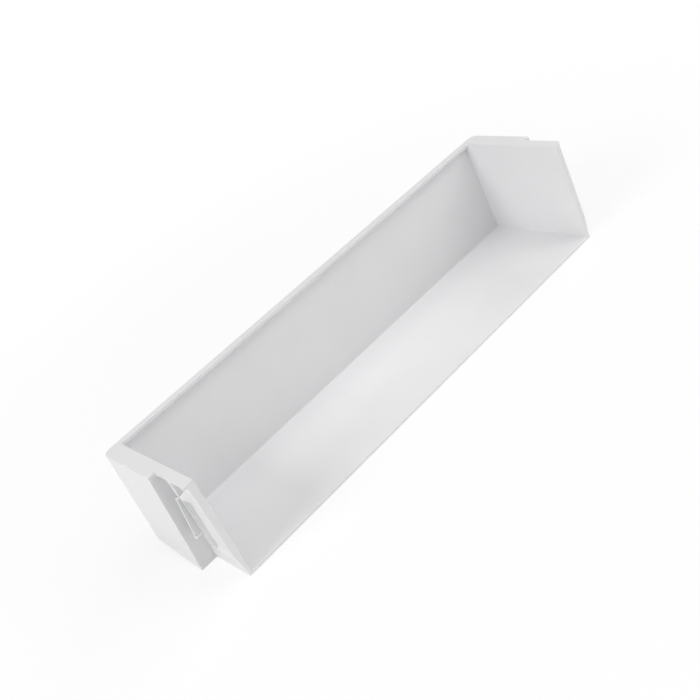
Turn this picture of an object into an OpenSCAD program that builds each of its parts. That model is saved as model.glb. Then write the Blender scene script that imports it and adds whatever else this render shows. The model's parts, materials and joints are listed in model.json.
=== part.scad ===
// Refrigerator door shelf, moulded in one white plastic: a flat floor, a tall front
// wall, two end walls and an open back. Each end carries a flared skirt, a slot that
// slides down over a lug of the door, and a sprung finger that takes up the play.
//
// The front wall faces -Y, the open back +Y, and the shelf stands on its floor at Z 0.
// End parts are drawn in end coordinates: u runs out from the inner face of the end
// wall at the rim, v runs forward from the rear edge, and z runs up from the underside.

/* [Bin] */
// Inside length between the end walls, at the rim
bin_l = 404; // [320:1:480]
// Inside depth from the rear edge to the front wall
bin_d = 104; // [92:0.5:130]
// Height of the rim above the underside
height = 91.9; // [84:0.1:120]
// Thickness of the floor and of every wall
wall = 2.4; // [2:0.1:2.8]
// How much further out each end wall stands at the underside than at the rim
end_splay = 1.5; // [0:0.1:3]
// How far the stiffening bead stands in from the front wall
bead_w = 3.4; // [2:0.1:5]
// Height of the bead below the rim
bead_h = 6; // [4:0.5:12]
// Inside fillet between the floor and the front wall
floor_fillet = 2; // [1:0.1:5]
// Outside radius under the front wall
heel_r = 2.2; // [0.5:0.1:2.3]

/* [End brackets] */
// Distance from the inner face of the end wall to the outside of the skirt, at the rim
skirt_out = 14.2; // [12:0.1:18]
// How much further out the skirt stands at the underside
skirt_flare = 4.4; // [0:0.1:7]
// Height of the skirt's lower edge at the front corner
skirt_rise = 9; // [2:0.5:20]
// Outside radius of the upright front corner
corner_r = 7; // [3.5:0.1:8.5]
// Width of the lug slot at the rim, from the latch housing to the web
slot_w = 10.7; // [10:0.1:16]
// How much wider the slot is at the underside, where the lug enters
slot_lead = 4.7; // [0:0.1:6]
// Radius at the top of the lug slot
slot_r = 3; // [1:0.1:5]
// Thickness of the stiffening ribs under the flange
rib_t = 1.6; // [1:0.1:2.4]
// How far those ribs reach down from the rim
rib_h = 34; // [15:1:50]
// Number of those ribs in each bracket
rib_n = 2; // [1:1:3]

/* [Latch housing] */
// Depth of the housing from the rear edge to the front of its rib
housing_d = 28.5; // [24:0.5:32]
// Distance from the inner face of the end wall to the outside of the housing
housing_out = 6.6; // [5.8:0.1:8]
// Drop from the rim to the front corner of the housing's sloping top
slope_drop = 22; // [19:0.5:26]
// Drop from the rim to the rear end of the sloping top
slope_start = 3.4; // [3:0.1:5]
// Height at which the housing begins to taper to the end wall
taper_top = 24; // [18:0.5:30]
// Height at which the taper ends
taper_toe = 3; // [1:0.5:8]
// Solid margin between the sloping top and the mouth of the pocket
pocket_margin = 6; // [4:0.5:9]
// How far the pocket's ceiling slopes up on its way outwards
ceiling_rise = 8; // [4:0.5:12]
// Height at which the pocket's floor begins to slope outwards
pocket_floor = 23; // [19:0.5:30]
// How far the pocket's floor slopes down on its way outwards
floor_drop = 9; // [4:0.5:12]
// Radius of the rear outer edge of the housing
housing_r = 1.2; // [0.5:0.1:2]
// Distance from the inner face of the end wall to the edge of the ledge over the latch
ledge_out = 8.6; // [7:0.1:10.5]
// Radius of the ledge's rear corner
ledge_r = 3.5; // [1:0.1:5]

/* [Latch finger] */
// Thickness of the finger's blade
finger_t = 1.6; // [1.2:0.1:2]
// Distance from the inner face of the end wall to the outer edge of the finger
finger_out = 10.6; // [8.5:0.1:11.5]
// Length of the blade from its root to the middle of its foot
finger_l = 30; // [24:0.5:36]
// Forward lean of the blade, in degrees
finger_lean = 7; // [4:0.5:9]
// Radius of the rounded root
root_r = 1.2; // [1:0.05:1.6]
// Radius of the two rounded edges of the foot
foot_r = 1.1; // [0.8:0.05:1.4]
// Width of the foot across the slot, between the middles of its rounded edges
foot_w = 2.6; // [1.5:0.1:3.5]

/* [Clearances] */
// Gap round the finger's root
root_gap = 0.3; // [0.3:0.05:0.6]
// Gap between the finger and the end wall
side_gap = 0.8; // [0.5:0.1:1.5]

/* [Hidden] */
$fn = 64;

shelf_white = "#e9e9ea";
over = 1;                                       // overshoot of a cutting tool
depth = bin_d + wall;                           // rear edge to front face
web_v = housing_d + slot_w;                     // rear face of the web, at the rim
web_angle = atan(slot_lead / height);           // lean of the web
neck_v = housing_d + wall;                      // front face of the finger's neck
under = height - wall;                          // underside of the flange
flare_angle = atan(skirt_flare / height);
root_v = housing_d + root_r + root_gap;         // axis of the finger's root
root_z = height - slope_drop - root_r;
neck_z = root_z + root_r + root_gap;            // lower end of the neck
slope_angle = atan((slope_drop - slope_start) / (housing_d - wall));
neck_lap = 1.2;                                 // overlap of the neck and the block

// Inner and outer faces of the end wall, and outer face of the skirt, at a height
function inner_u(z) = end_splay * (height - z) / height;
function outer_u(z) = inner_u(z) + wall;
function skirt_u(z) = skirt_out + skirt_flare * (height - z) / height;

// Rear face of the leaning web at a height, and the housing's sloping top at a depth
function web_at(z) = web_v + slot_lead * (height - z) / height;
function slope_z(v) = height - slope_start - (v - wall) * tan(slope_angle);

// Places end coordinates at the right-hand end of the shelf
module right_end() {
    translate([bin_l / 2, depth / 2, 0])
        mirror([0, 1, 0])
            children();
}

// The same at the left-hand end
module left_end() {
    mirror([1, 0, 0])
        right_end()
            children();
}

// Extrudes an outline of u and z points forward from v0 to v1
module along_v(v0, v1) {
    translate([0, v1, 0])
        rotate([90, 0, 0])
            linear_extrude(v1 - v0)
                children();
}

// Extrudes an outline of v and z points outwards from u0 to u1
module along_u(u0, u1) {
    translate([u0, 0, 0])
        rotate([90, 0, 90])
            linear_extrude(u1 - u0)
                children();
}

// Outline across the shelf between two mirrored lines, given at the underside and rim
module across(low, high) {
    half = bin_l / 2;
    polygon([
        [-half - low, 0], [half + low, 0],
        [half + high, height], [-half - high, height]
    ]);
}

// Concave corner of radius r that fills the space between +x and +y
module fillet_outline(r) {
    difference() {
        square(r);
        translate([r, r])
            circle(r);
    }
}

// ---- bin ----

module floor_panel() {
    color(shelf_white)
        translate([0, depth / 2, 0])
            mirror([0, 1, 0])
                intersection() {
                    along_v(0, bin_d)
                        across(inner_u(0), inner_u(height));
                    along_u(-bin_l, bin_l)
                        square([bin_d, wall]);
                }
}

// Section of the stiffening bead: flat on top, sloping back to the wall below
module bead_outline() {
    polygon([
        [depth - wall / 2, height], [bin_d - bead_w, height],
        [bin_d - bead_w, height - bead_h / 2], [bin_d, height - bead_h],
        [depth - wall / 2, height - bead_h]
    ]);
}

module front_wall() {
    color(shelf_white)
        translate([0, depth / 2, 0])
            mirror([0, 1, 0]) {
                difference() {
                    along_v(bin_d, depth)
                        across(outer_u(0), outer_u(height));
                    translate([0, depth, 0])
                        mirror([0, 1, 0])
                            along_u(-bin_l, bin_l)
                                fillet_outline(heel_r);
                }
                intersection() {
                    along_v(bin_d - bead_w, depth)
                        across(inner_u(0), inner_u(height));
                    along_u(-bin_l, bin_l)
                        bead_outline();
                }
                intersection() {
                    along_v(bin_d - floor_fillet, depth)
                        across(inner_u(0), inner_u(height));
                    translate([0, bin_d, wall])
                        mirror([0, 1, 0])
                            along_u(-bin_l, bin_l)
                                fillet_outline(floor_fillet);
                }
            }
}

module end_wall() {
    color(shelf_white)
        along_v(0, bin_d)
            polygon([
                [inner_u(0), 0], [outer_u(0), 0],
                [outer_u(height), height], [inner_u(height), height]
            ]);
}

// ---- end bracket: flange, skirt, front wing and web ----

// Plan of a corner at the origin that opens towards -x and -y, with radius r
module corner_plan(r) {
    difference() {
        translate([-depth, -2 * depth])
            square([depth, 2 * depth]);
        rotate(180)
            fillet_outline(r);
    }
}

// Block from the end wall out to the flared skirt, with its upright corner rounded
module flared_block(v0, v1, inset, r) {
    intersection() {
        along_v(v0, v1)
            polygon([
                [outer_u(0) - inset, 0], [2 * skirt_u(0), 0],
                [2 * skirt_u(0), height], [outer_u(height) - inset, height]
            ]);
        translate([skirt_u(height) - inset, v1, height])
            rotate([0, -flare_angle, 0])
                translate([0, 0, -2 * height])
                    linear_extrude(3 * height)
                        corner_plan(r);
    }
}

// Side view of the bracket: its web leans, and its lower edge rises towards the front
module skirt_outline() {
    polygon([
        [web_at(0), 0], [depth, skirt_rise],
        [depth, height], [web_at(height), height]
    ]);
}

// Side view of the hollow behind the skirt, open below
module hollow_outline() {
    polygon([
        [web_at(-over) + wall, -over], [depth, -over],
        [depth, under], [web_at(under) + wall, under]
    ]);
}

module stiffening_rib(v) {
    intersection() {
        along_v(v, v + rib_t)
            polygon([
                [outer_u(0), 0], [skirt_u(0) - wall, 0],
                [skirt_u(height) - wall, height], [outer_u(height), height]
            ]);
        translate([0, 0, height - rib_h])
            along_u(0, 2 * skirt_u(0))
                square([depth, rib_h - wall]);
    }
}

module bracket() {
    bay = (depth - wall - web_v - wall) / (rib_n + 1);
    color(shelf_white) {
        difference() {
            intersection() {
                flared_block(neck_v, depth, 0, corner_r);
                along_u(0, 2 * skirt_u(0))
                    skirt_outline();
            }
            intersection() {
                flared_block(neck_v, depth - wall, wall, corner_r - wall);
                along_u(0, 2 * skirt_u(0))
                    hollow_outline();
            }
        }
        for (i = [1 : rib_n])
            stiffening_rib(web_v + wall + i * bay - rib_t / 2);
        slot_roof();
    }
}

// Block from the end wall out to the edge of the ledge
module ledge_block(v0, v1) {
    along_v(v0, v1)
        polygon([
            [outer_u(0), 0], [ledge_out, 0],
            [ledge_out, height], [outer_u(height), height]
        ]);
}

// Ledge over the lug slot, rounded where it meets the leaning web
module slot_roof() {
    centre_z = under - slot_r;
    centre_v = web_at(centre_z) - slot_r / cos(web_angle);
    touch_v = centre_v + slot_r * cos(web_angle);
    touch_z = centre_z + slot_r * sin(web_angle);
    intersection() {
        ledge_block(neck_v, depth);
        along_u(0, 2 * skirt_u(0)) {
            translate([neck_v, under])
                square([web_v - neck_v + over, wall]);
            difference() {
                polygon([
                    [centre_v, centre_z], [touch_v, touch_z], [touch_v + over, touch_z],
                    [touch_v + over, under + over], [centre_v, under + over]
                ]);
                translate([centre_v, centre_z])
                    circle(slot_r);
            }
        }
    }
}

// ---- latch housing: a pocketed block under the ledge, with the finger's neck ----

// Section of the housing across the shelf, tapering to the end wall at its toe
module housing_section() {
    polygon([
        [outer_u(taper_toe), taper_toe], [housing_out, taper_top],
        [housing_out, height], [outer_u(height), height]
    ]);
}

// Side view of the housing: rear rib, sloping top and the neck that holds the finger
module housing_outline() {
    neck_rear = housing_d - neck_lap;
    polygon([
        [0, 0], [housing_d, 0], [housing_d, neck_z], [neck_v, neck_z], [neck_v, height],
        [neck_rear, height], [neck_rear, slope_z(neck_rear)],
        [wall, slope_z(wall)], [wall, height], [0, height]
    ]);
}

// Hollow of the pocket: open outwards, with a sloping floor and a sloping ceiling
module pocket() {
    bottom = outer_u(height);
    mouth = housing_out + over;
    intersection() {
        along_v(wall, housing_d - wall)
            polygon([
                [bottom, pocket_floor], [mouth, pocket_floor - floor_drop],
                [mouth, height], [bottom, height]
            ]);
        translate([0, wall, height - slope_start - pocket_margin])
            rotate([-slope_angle, 0, 0])
                along_v(-height, height)
                    polygon([
                        [bottom, -2 * height], [mouth, -2 * height],
                        [mouth, 0], [bottom, -ceiling_rise]
                    ]);
    }
}

// Ledge over the housing, with its rear corner rounded
module ledge() {
    intersection() {
        ledge_block(0, neck_v);
        translate([0, 0, under])
            linear_extrude(wall)
                difference() {
                    square([ledge_out, neck_v]);
                    translate([ledge_out, 0])
                        rotate(90)
                            fillet_outline(ledge_r);
                }
    }
}

module latch_housing() {
    color(shelf_white) {
        difference() {
            intersection() {
                along_v(0, neck_v)
                    housing_section();
                along_u(0, housing_out)
                    housing_outline();
            }
            pocket();
            translate([housing_out, 0, -over])
                rotate([0, 0, 90])
                    linear_extrude(height + 2 * over)
                        fillet_outline(housing_r);
        }
        ledge();
    }
}

// ---- latch finger: a blade that hangs in the slot and springs towards the rear ----

module latch_finger() {
    inner = outer_u(root_z - finger_l - 2 * foot_r) + side_gap;
    width = finger_out - inner;
    color(shelf_white)
        translate([inner, root_v, root_z])
            rotate([finger_lean, 0, 0])
                rotate([0, 90, 0]) {
                    cylinder(r = root_r, h = width);
                    translate([0, -finger_t / 2, 0])
                        cube([finger_l, finger_t, width]);
                    for (side = [-1, 1])
                        translate([finger_l, side * foot_w / 2, 0])
                            cylinder(r = foot_r, h = width);
                    translate([finger_l - foot_r, -foot_w / 2, 0])
                        cube([2 * foot_r, foot_w, width]);
                }
}

floor_panel();
front_wall();
left_end() end_wall();  // left_end_wall
right_end() end_wall();  // right_end_wall
left_end() bracket();  // left_bracket
right_end() bracket();  // right_bracket
left_end() latch_housing();  // left_latch_housing
right_end() latch_housing();  // right_latch_housing
left_end() latch_finger();  // left_latch_finger
right_end() latch_finger();  // right_latch_finger
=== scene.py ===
import json
import math

import bpy
from mathutils import Matrix, Vector

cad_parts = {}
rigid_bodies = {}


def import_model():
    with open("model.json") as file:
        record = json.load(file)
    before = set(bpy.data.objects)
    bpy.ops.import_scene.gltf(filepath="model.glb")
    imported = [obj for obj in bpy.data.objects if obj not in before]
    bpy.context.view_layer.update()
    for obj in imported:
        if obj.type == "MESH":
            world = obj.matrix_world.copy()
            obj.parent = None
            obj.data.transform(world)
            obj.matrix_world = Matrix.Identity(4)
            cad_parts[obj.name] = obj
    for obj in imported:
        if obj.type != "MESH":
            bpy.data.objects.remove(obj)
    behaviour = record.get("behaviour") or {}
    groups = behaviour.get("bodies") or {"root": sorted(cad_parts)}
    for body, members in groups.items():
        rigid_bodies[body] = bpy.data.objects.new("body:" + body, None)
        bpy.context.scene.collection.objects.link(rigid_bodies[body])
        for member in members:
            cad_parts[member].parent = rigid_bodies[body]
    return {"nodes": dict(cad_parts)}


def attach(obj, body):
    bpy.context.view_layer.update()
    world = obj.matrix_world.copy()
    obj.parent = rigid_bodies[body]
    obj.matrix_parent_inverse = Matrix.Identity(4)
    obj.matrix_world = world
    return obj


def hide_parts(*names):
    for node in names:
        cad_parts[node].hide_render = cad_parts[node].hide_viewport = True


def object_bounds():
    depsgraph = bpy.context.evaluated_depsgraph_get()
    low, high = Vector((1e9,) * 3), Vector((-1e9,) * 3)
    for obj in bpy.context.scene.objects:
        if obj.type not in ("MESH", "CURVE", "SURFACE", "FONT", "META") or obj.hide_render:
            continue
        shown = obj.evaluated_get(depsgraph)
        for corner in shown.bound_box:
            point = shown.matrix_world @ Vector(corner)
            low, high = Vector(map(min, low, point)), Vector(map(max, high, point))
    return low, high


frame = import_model()
cadLow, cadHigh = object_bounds()
print("frame loaded:", len(frame["nodes"]), "nodes")


def mm(value):
    return value / 1000


def pickObject(piece):
    bpy.ops.object.select_all(action="DESELECT")
    piece.select_set(True)
    bpy.context.view_layer.objects.active = piece


def copyNode(name, pieceName):
    pickObject(frame["nodes"][name])
    bpy.ops.object.duplicate()
    piece = bpy.context.object
    bpy.ops.object.parent_clear(type="CLEAR_KEEP_TRANSFORM")
    piece.name = piece.data.name = pieceName
    piece.data.materials.clear()
    # a CAD mesh is loose triangles: they are welded and turned back into whole faces
    bpy.ops.object.mode_set(mode="EDIT")
    bpy.ops.mesh.select_all(action="SELECT")
    bpy.ops.mesh.remove_doubles(threshold=mm(0.002))
    bpy.ops.mesh.dissolve_limited(angle_limit=math.radians(0.3))
    bpy.ops.object.mode_set(mode="OBJECT")
    return piece


def pushFaces(piece, isWanted, step):
    # moves the faces that isWanted names, by their middle and their normal
    pickObject(piece)
    bpy.ops.object.mode_set(mode="EDIT")
    bpy.ops.mesh.select_all(action="DESELECT")
    bpy.ops.object.mode_set(mode="OBJECT")
    for face in piece.data.polygons:
        face.select = isWanted(face.center, face.normal)
    bpy.ops.object.mode_set(mode="EDIT")
    bpy.ops.transform.translate(value=step)
    bpy.ops.object.mode_set(mode="OBJECT")


def weld(piece, other):
    pickObject(piece)
    joint = piece.modifiers.new("Weld", "BOOLEAN")
    joint.operation = "UNION"
    joint.solver = "EXACT"
    joint.object = other
    bpy.ops.object.modifier_apply(modifier=joint.name)
    bpy.data.objects.remove(other)


def cleanFaces(piece, gap, flat):
    pickObject(piece)
    bpy.ops.object.mode_set(mode="EDIT")
    bpy.ops.mesh.select_all(action="SELECT")
    bpy.ops.mesh.remove_doubles(threshold=mm(gap))
    bpy.ops.mesh.dissolve_limited(angle_limit=math.radians(flat))
    bpy.ops.mesh.normals_make_consistent(inside=False)
    bpy.ops.object.mode_set(mode="OBJECT")


# the ledge's rounded rear corner, which comes within a hundredth of a millimetre of the housing's own
ledge = {
    "centreX": 207.1, "centreY": 49.7, "radius": 3.5,     # mm, the arc seen from above
    "above": 87,        # mm, the height from which it applies
}


def pullIn(piece):
    # the bevel overshoots where two arcs nearly touch
    # such points go back to the CAD's box and to the ledge's arc
    for point in piece.data.vertices:
        point.co = [min(max(c, a), b) for c, a, b in zip(point.co, cadLow, cadHigh)]
        out, back = abs(point.co.x) - mm(ledge["centreX"]), point.co.y - mm(ledge["centreY"])
        share = mm(ledge["radius"]) / max(math.hypot(out, back), mm(ledge["radius"]))
        if point.co.z > mm(ledge["above"]) and out > 0 and back > 0 and share < 1:
            point.co.x = math.copysign(mm(ledge["centreX"]) + out * share, point.co.x)
            point.co.y = mm(ledge["centreY"]) + back * share


def roundEdges(piece, width, steps, sharp, isTight=None):
    # every edge that turns by more than sharp, except in the tight places that isTight names
    pickObject(piece)
    bpy.ops.object.mode_set(mode="EDIT")
    bpy.ops.mesh.select_mode(type="EDGE")
    bpy.ops.mesh.select_all(action="DESELECT")
    bpy.ops.mesh.edges_select_sharp(sharpness=math.radians(sharp))
    bpy.ops.object.mode_set(mode="OBJECT")
    if isTight:
        points = piece.data.vertices
        for edge in piece.data.edges:
            first, last = (points[i].co for i in edge.vertices)
            if edge.select and isTight((first + last) / 2):
                edge.select = False
    bpy.ops.object.mode_set(mode="EDIT")
    bpy.ops.transform.edge_bevelweight(value=1)
    bpy.ops.mesh.select_mode(type="FACE")
    bpy.ops.object.mode_set(mode="OBJECT")
    bevel = piece.modifiers.new("MouldedEdge", "BEVEL")
    bevel.width = mm(width)
    bevel.segments = steps
    bevel.limit_method = "WEIGHT"
    bevel.use_clamp_overlap = False
    bpy.ops.object.modifier_apply(modifier=bevel.name)
    pullIn(piece)
    bpy.ops.object.shade_smooth_by_angle(angle=math.radians(sharp))
    # the wide faces stay flat and only the rounded edges turn
    soften = piece.modifiers.new("FlatFaces", "WEIGHTED_NORMAL")
    soften.keep_sharp = True
    bpy.ops.object.modifier_apply(modifier=soften.name)


# the shelf: eight CAD sections welded into the one moulding that they really are
shelf = {
    "tuck": 0.2,            # mm that a section reaches into its neighbour before the two are welded
    "edge": 0.45,           # mm, radius that the mould leaves on an edge
    "edgeSteps": 3,
    "sharp": 40,            # degrees, what counts as an edge
    "merge": 0.03,          # mm, gap under which two points are one
    "flat": 0.3,            # degrees, turn under which two faces are one
    "wallPlane": 206.2,     # mm from the middle, just outside the end walls' outer faces
    "frontPlane": -50.5,    # mm, just behind the front wall's inner face
    "neckPlane": 22.6,      # mm, just behind the front face of the finger's neck
    "pocketRise": 4,        # mm that the pocket reaches further up than the CAD's, as the photo shows
    "pocketLow": 50, "pocketHigh": 85, "pocketFront": 30,     # mm, where the pocket's ceiling lies
    "innerX": 209.5, "outerX": 211.7,       # mm, where the ledge meets the web: its edges stay sharp
    "frontY": 12.2, "backY": 16.2, "lowZ": 84,
}
tuck = mm(shelf["tuck"])

moulding = copyNode("floor_panel", "shelfMoulding")
for side in (-1, 1):
    pushFaces(moulding, lambda middle, normal: normal.x * side > 0.9, (side * tuck, 0, 0))
pushFaces(moulding, lambda middle, normal: normal.y < -0.9, (0, -tuck, 0))

front = copyNode("front_wall", "frontPart")
for side in (-1, 1):
    # the ends of the bead and of the floor fillet, which stop at the end walls
    pushFaces(
        front,
        lambda middle, normal: normal.x * side > 0.9 and middle.y > mm(shelf["frontPlane"]),
        (side * tuck, 0, 0),
    )
weld(moulding, front)

for name, side in (("left", -1), ("right", 1)):
    wall = copyNode(name + "_end_wall", "wallPart")
    pushFaces(wall, lambda middle, normal: normal.y < -0.9, (0, -tuck, 0))
    weld(moulding, wall)
    bracket = copyNode(name + "_bracket", "bracketPart")
    housing = copyNode(name + "_latch_housing", "housingPart")
    for section in (bracket, housing):
        # the faces that lie against the end wall
        pushFaces(
            section,
            lambda middle, normal: normal.x * side < -0.9 and abs(middle.x) < mm(shelf["wallPlane"]),
            (-side * tuck, 0, 0),
        )
    weld(moulding, bracket)
    pushFaces(
        housing,
        lambda middle, normal: normal.y < -0.9 and middle.y < mm(shelf["neckPlane"]),
        (0, -tuck, 0),
    )
    pushFaces(
        housing,
        lambda middle, normal: normal.z < -0.3 and middle.y > mm(shelf["pocketFront"])
        and mm(shelf["pocketLow"]) < middle.z < mm(shelf["pocketHigh"]),
        (0, 0, mm(shelf["pocketRise"])),
    )
    weld(moulding, housing)
cleanFaces(moulding, shelf["merge"], shelf["flat"])
print("welded:", len(moulding.data.vertices), "points", len(moulding.data.polygons), "faces")


def isAtWeb(spot):
    isAcross = mm(shelf["innerX"]) < abs(spot.x) < mm(shelf["outerX"])
    return isAcross and mm(shelf["frontY"]) < spot.y < mm(shelf["backY"]) and spot.z > mm(shelf["lowZ"])


roundEdges(moulding, shelf["edge"], shelf["edgeSteps"], shelf["sharp"], isAtWeb)
print("moulding:", len(moulding.data.polygons), "faces")

# the two sprung fingers, longer and wider towards the foot than the CAD's, as the photo shows
finger = {
    "edge": 0.2,            # mm
    "edgeSteps": 3,
    "sharp": 40,            # degrees
    "merge": 0.01,          # mm
    "flat": 0.3,            # degrees
    "lean": 7,              # degrees, forwards
    "longer": 7,            # mm that the foot moves down the blade
    "footTop": 45,          # mm, everything below it is the foot
    "rootHeight": 68.7,     # mm, the middle of the root
    "outerPlane": 212,      # mm from the middle, just inside the finger's outer edge
    "rootIn": -1.7,         # mm that the outer edge moves at the root
    "footOut": 1.0,         # mm that it moves at the foot
}
lean = math.radians(finger["lean"])
downBlade = Vector((0, -math.sin(lean), -math.cos(lean))) * mm(finger["longer"])
fingers = []
for name, side in (("left", -1), ("right", 1)):
    blade = copyNode(name + "_latch_finger", name + "SprungFinger")
    pushFaces(blade, lambda middle, normal: middle.z < mm(finger["footTop"]), downBlade)
    drop = max(mm(finger["rootHeight"]) - point.co.z for point in blade.data.vertices)
    for point in blade.data.vertices:
        if abs(point.co.x) > mm(finger["outerPlane"]):
            share = (mm(finger["rootHeight"]) - point.co.z) / drop
            point.co.x += side * mm(finger["rootIn"] + share * (finger["footOut"] - finger["rootIn"]))
    cleanFaces(blade, finger["merge"], finger["flat"])
    roundEdges(blade, finger["edge"], finger["edgeSteps"], finger["sharp"])
    fingers.append(blade)
print("fingers made")


def linear(hexColour):
    values = [int(hexColour[i:i + 2], 16) / 255 for i in (1, 3, 5)]
    return [v / 12.92 if v <= 0.04045 else ((v + 0.055) / 1.055) ** 2.4 for v in values] + [1]


def addNode(tree, kind, settings=None, **links):
    # one node, with its settings, its constant inputs and the sockets that feed it
    node = tree.nodes.new(kind)
    for name, value in (settings or {}).items():
        setattr(node, name, value)
    for name, value in links.items():
        key = int(name[1:]) if name[0] == "i" and name[1:].isdigit() else name.replace("_", " ")
        if isinstance(value, bpy.types.NodeSocket):
            tree.links.new(value, node.inputs[key])
        else:
            node.inputs[key].default_value = value
    return node


def newMaterial(name):
    material = bpy.data.materials.new(name)
    material.use_nodes = True
    material.node_tree.nodes.clear()
    return material, material.node_tree


# White polystyrene from a satin mould: to the eye a very slightly uneven white, a fine matt grain,
# faint streaks of duller skin along the shelf, and long shallow waves where the melt sank.
white = {
    "body": "#e9e9ea", "thin": "#e5e5e6",
    "roughness": 0.36, "roughSpread": 0.08, "ior": 1.59,
    "cloud": 70,        # mm, size of the uneven patches
    "streak": 9,        # mm, width of the duller streaks
    "grain": 0.35,      # mm, spacing of the mould's grain
    "grainDepth": 0.004,    # mm
    "wave": 46,         # mm, length of the sink waves
    "waveDepth": 0.05,      # mm
}
styrene, tree = newMaterial("moulded polystyrene")
place = addNode(tree, "ShaderNodeTexCoord").outputs["Object"]
cloud = addNode(tree, "ShaderNodeTexNoise",
                Vector=place, Scale=1 / mm(white["cloud"]), Detail=3, Roughness=0.5)
tone = addNode(tree, "ShaderNodeMapRange", Value=cloud.outputs[0], From_Min=0.3, From_Max=0.7)
colour = addNode(tree, "ShaderNodeMix", {"data_type": "RGBA"},
                 i0=tone.outputs[0], i6=linear(white["thin"]), i7=linear(white["body"]))
flow = addNode(tree, "ShaderNodeMapping", Vector=place, Scale=(0.25, 1, 1))
streak = addNode(tree, "ShaderNodeTexNoise",
                 Vector=flow.outputs[0], Scale=1 / mm(white["streak"]), Detail=4, Roughness=0.6)
rough = addNode(tree, "ShaderNodeMapRange", Value=streak.outputs[0], From_Min=0.25, From_Max=0.75,
                To_Min=white["roughness"] - white["roughSpread"] / 2,
                To_Max=white["roughness"] + white["roughSpread"] / 2)
wave = addNode(tree, "ShaderNodeTexNoise",
               Vector=place, Scale=1 / mm(white["wave"]), Detail=1, Roughness=0.4)
grain = addNode(tree, "ShaderNodeTexNoise",
                Vector=place, Scale=1 / mm(white["grain"]), Detail=2, Roughness=0.5)
waveBump = addNode(tree, "ShaderNodeBump",
                   Strength=0.6, Distance=mm(white["waveDepth"]), Height=wave.outputs[0])
grainBump = addNode(tree, "ShaderNodeBump", Strength=0.5, Distance=mm(white["grainDepth"]),
                    Height=grain.outputs[0], Normal=waveBump.outputs[0])
skin = addNode(tree, "ShaderNodeBsdfPrincipled", Base_Color=colour.outputs[2], Roughness=rough.outputs[0],
               IOR=white["ior"], Normal=grainBump.outputs[0])
addNode(tree, "ShaderNodeOutputMaterial", Surface=skin.outputs[0])

for piece in [moulding] + fingers:
    piece.data.materials.append(styrene)
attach(moulding, "shelf")
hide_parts("floor_panel", "front_wall", "left_end_wall", "right_end_wall",
            "left_bracket", "right_bracket", "left_latch_housing", "right_latch_housing")
for name, blade in zip(("left", "right"), fingers):
    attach(blade, name + "_latch")
    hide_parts(name + "_latch_finger")
print("materials set")

# studio: a white paper floor that shows white to the camera and still takes a shadow
# close to the object most of the glow gives way to real light, further out the paper is plain white
sheet = {
    "size": 24,         # metres
    "paper": "#f8f8f8",
    "near": 0.25, "far": 0.6,       # metres from the middle
    "nearGlow": 0.75, "farGlow": 1.0,
}
bpy.ops.mesh.primitive_plane_add(size=sheet["size"], location=(0, 0, 0))
floor = bpy.context.object
floor.name = "studioFloor"
paper, tree = newMaterial("white paper floor")
rays = addNode(tree, "ShaderNodeLightPath")
place = addNode(tree, "ShaderNodeTexCoord").outputs["Object"]
away = addNode(tree, "ShaderNodeVectorMath", {"operation": "LENGTH"}, i0=place)
reach = addNode(tree, "ShaderNodeMapRange", Value=away.outputs["Value"],
                From_Min=sheet["near"], From_Max=sheet["far"],
                To_Min=sheet["nearGlow"], To_Max=sheet["farGlow"])
share = addNode(tree, "ShaderNodeMath", {"operation": "MULTIPLY"},
                i0=rays.outputs["Is Camera Ray"], i1=reach.outputs[0])
sheetSkin = addNode(tree, "ShaderNodeBsdfDiffuse", Color=linear(sheet["paper"]))
glow = addNode(tree, "ShaderNodeEmission", Color=(1, 1, 1, 1), Strength=1.0)
both = addNode(tree, "ShaderNodeMixShader", i0=share.outputs[0], i1=sheetSkin.outputs[0], i2=glow.outputs[0])
addNode(tree, "ShaderNodeOutputMaterial", Surface=both.outputs[0])
floor.data.materials.append(paper)

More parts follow.
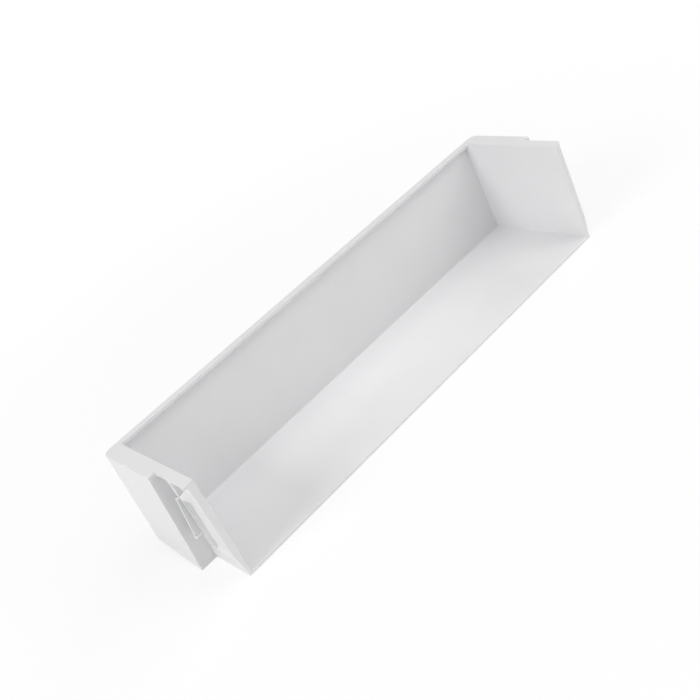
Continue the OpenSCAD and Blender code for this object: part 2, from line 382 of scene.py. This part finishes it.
# the room: a dim white that fills the shadows, and plain white where the camera sees past the paper
world = bpy.data.worlds.new("studio")
bpy.context.scene.world = world
world.use_nodes = True
tree = world.node_tree
tree.nodes.clear()
fill = addNode(tree, "ShaderNodeBackground", Color=(1, 1, 1, 1), Strength=0.32)
seen = addNode(tree, "ShaderNodeBackground", Color=(1, 1, 1, 1), Strength=1.0)
rays = addNode(tree, "ShaderNodeLightPath")
both = addNode(tree, "ShaderNodeMixShader",
               i0=rays.outputs["Is Camera Ray"], i1=fill.outputs[0], i2=seen.outputs[0])
addNode(tree, "ShaderNodeOutputWorld", Surface=both.outputs[0])

# soft boxes: azimuth 0 stands on the +Y side, 90 on the +X side; all are square and aim at the middle
lampReach = 2.2     # metres
lampSize = 1.0      # metres
lamps = [
    {"name": "rightBox", "azimuth": 90, "height": 35, "power": 19.5},
    {"name": "leftBox", "azimuth": 270, "height": 35, "power": 9.6},
    {"name": "backLeftBox", "azimuth": 315, "height": 35, "power": 9},
    {"name": "highLeftBox", "azimuth": 315, "height": 65, "power": 6.9},
    {"name": "highRightBox", "azimuth": 45, "height": 65, "power": 6.6},
]
for lamp in lamps:
    light = bpy.data.lights.new(lamp["name"], "AREA")
    light.shape = "SQUARE"
    light.size = lampSize
    light.energy = lamp["power"]
    turn = math.radians(lamp["azimuth"])
    rise = math.radians(lamp["height"])
    towards = Vector((math.sin(turn) * math.cos(rise), math.cos(turn) * math.cos(rise), math.sin(rise)))
    spot = towards * lampReach
    box = bpy.data.objects.new(lamp["name"], light)
    bpy.context.scene.collection.objects.link(box)
    box.matrix_world = Matrix.Translation(spot) @ (-spot).to_track_quat("-Z", "Y").to_matrix().to_4x4()
print("studio set")

# the photo's own viewpoint, in mm and degrees
camera = {
    "place": (375.0, 641.8, 468.5), "aim": (19.4, -8.0, 41.9),
    "roll": -27.55, "lens": 55.45, "film": 36,
}
place, aim = (Vector([mm(v) for v in camera[k]]) for k in ("place", "aim"))
lens = bpy.data.cameras.new("photoCamera")
lens.sensor_width = camera["film"]
lens.lens = camera["lens"]
photoCamera = bpy.data.objects.new("photoCamera", lens)
bpy.context.scene.collection.objects.link(photoCamera)
look = (aim - place).to_track_quat("-Z", "Y").to_matrix().to_4x4()
roll = Matrix.Rotation(math.radians(camera["roll"]), 4, "Z")
photoCamera.matrix_world = Matrix.Translation(place) @ look @ roll
bpy.context.scene.camera = photoCamera
bpy.context.scene.view_settings.view_transform = "Standard"
